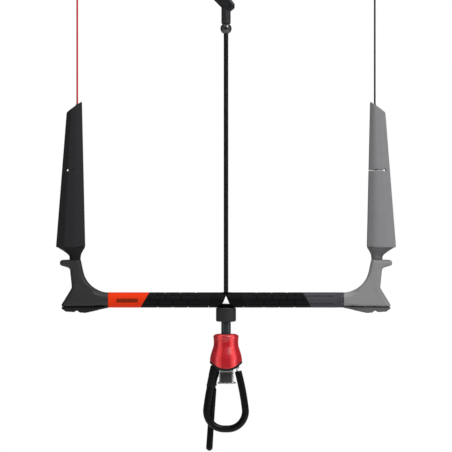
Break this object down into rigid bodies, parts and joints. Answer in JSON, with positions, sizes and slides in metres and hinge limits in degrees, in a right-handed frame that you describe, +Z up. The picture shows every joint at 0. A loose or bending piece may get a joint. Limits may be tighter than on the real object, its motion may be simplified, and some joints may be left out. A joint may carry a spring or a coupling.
{
  "type": "kite control bar",
  "caption": "Kite control bar sliding and spinning on a depower tube, with leaning end floats, steering leaders, trim cleat, swivel, push-away quick release and harness loop.",
  "frame": {"origin": "centre of the front-line eye's bore at the top of the centre line, where the front lines hold the bar up", "axes": "+Z up along the depower tube, +X along the bar to its right, the front faces -Y"},
  "size_m": [0.5366, 0.0508, 0.7728],
  "materials": {
    "black_tube": "satin",
    "line_core": "matte",
    "steel": "polished",
    "stopper": "gloss",
    "cleat": "satin",
    "jaw": "satin",
    "front_rope": "matte",
    "cup": "satin",
    "bush": "gloss",
    "core_alloy": "satin",
    "hub": "satin",
    "mark": "gloss",
    "grip_black": "matte",
    "grip_orange": "satin",
    "grip_grey": "satin",
    "end_black": "satin",
    "end_grey": "satin",
    "pad": "matte",
    "foam_black": "matte",
    "foam_grey": "matte",
    "boot_black": "matte",
    "boot_grey": "matte",
    "sheath": "satin",
    "leader_red": "matte",
    "leader_grey": "matte",
    "neck": "gloss",
    "core_block": "satin",
    "sleeve_red": "gloss",
    "rim": "satin",
    "loop_tube": "satin",
    "cuff": "matte"
  },
  "bodies": {
    "centre_line": {"depower_tube": "black_tube", "depower_lines": "line_core", "line_ferrule": "steel", "stopper_ball": "stopper", "stopper_ball_screw": "steel", "cleat_stem": "cleat", "cleat_housing": "cleat", "cleat_jaw": "jaw", "cleat_screws": "steel", "front_line": "front_rope", "front_line_thimble": "steel", "swivel_cup": "cup", "swivel_cap": "cup", "bearing_lower_race": "steel"},
    "guide": {"guide_bush": "bush"},
    "bar": {"bar_core_left": "core_alloy", "bar_core_right": "core_alloy", "hub_front": "hub", "hub_back": "hub", "hub_mark": "mark", "hub_screws": "steel", "grip_inner_left": "grip_black", "grip_inner_right": "grip_black", "grip_outer_left": "grip_orange", "grip_outer_right": "grip_grey", "bar_end_left": "end_black", "bar_end_right": "end_grey", "foot_pad_left": "pad", "foot_pad_right": "pad", "leader_anchors": "steel", "end_screws": "steel"},
    "float_left": {"float_left": "foam_black", "float_boot_left": "boot_black", "leader_sheath_left": "sheath", "leader_left": "leader_red", "leader_knot_left": "leader_red"},
    "float_right": {"float_right": "foam_grey", "float_boot_right": "boot_grey", "leader_sheath_right": "sheath", "leader_right": "leader_grey", "leader_knot_right": "leader_grey"},
    "release": {"swivel_shaft": "steel", "bearing_upper_race": "steel", "bearing_balls": "steel", "neck_cover": "neck", "release_frame": "steel", "release_core": "core_block", "latch_hinge_pin": "steel", "loop_anchor_pin": "steel", "loop_cuff": "cuff", "loop_fixed_leg": "loop_tube", "finger_collar": "cuff", "finger_pin": "steel", "release_spring": "steel"},
    "sleeve": {"release_sleeve": "sleeve_red", "sleeve_rim": "rim"},
    "latch": {"latch_pin": "steel"},
    "loop_leg": {"loop_free_leg": "loop_tube", "loop_end_ring": "steel"},
    "finger": {"safety_finger": "loop_tube"}
  },
  "joints": [
    {"name": "bar_throw", "type": "slide", "parent": "centre_line", "child": "guide", "axis": [0, 0, 1], "range_m": [0, 0.408]},
    {"name": "bar_spin", "type": "hinge", "parent": "guide", "child": "bar", "pos_m": [0, 0, -0.52], "axis": [0, 0, 1], "continuous": true},
    {"name": "float_left_lean", "type": "hinge", "parent": "bar", "child": "float_left", "pos_m": [-0.2384, 0, -0.4534], "axis": [0, 1, 0], "range_deg": [-20, 25], "stiffness_Nm_per_rad": 1.2},
    {"name": "float_right_lean", "type": "hinge", "parent": "bar", "child": "float_right", "pos_m": [0.2384, 0, -0.4534], "axis": [0, 1, 0], "range_deg": [-25, 20], "stiffness_Nm_per_rad": 1.2},
    {"name": "release_swivel", "type": "hinge", "parent": "centre_line", "child": "release", "pos_m": [0, 0, -0.5482], "axis": [0, 0, 1], "continuous": true},
    {"name": "sleeve_pull", "type": "slide", "parent": "release", "child": "sleeve", "axis": [0, 0, 1], "range_m": [0, 0.014], "stiffness_N_per_m": 700, "springref_m": -0.012, "deforming": ["release_spring"]},
    {"name": "latch_swing", "type": "hinge", "parent": "release", "child": "latch", "pos_m": [0.0098, 0, -0.6266], "axis": [0, 1, 0], "range_deg": [0, 60.5]},
    {"name": "loop_open", "type": "hinge", "parent": "release", "child": "loop_leg", "pos_m": [0, 0, -0.7294], "axis": [0, 1, 0], "range_deg": [0, 35.5]},
    {"name": "finger_swing", "type": "hinge", "parent": "release", "child": "finger", "pos_m": [-0.0197, 0.0134, -0.653], "axis": [1, 0, 0], "range_deg": [0, 60]}
  ],
  "couplings": [
    {"joint": "latch_swing", "follows": "sleeve_pull", "rad_per_m": 74.8},
    {"joint": "loop_open", "follows": "sleeve_pull", "rad_per_m": 43.633}
  ]
}
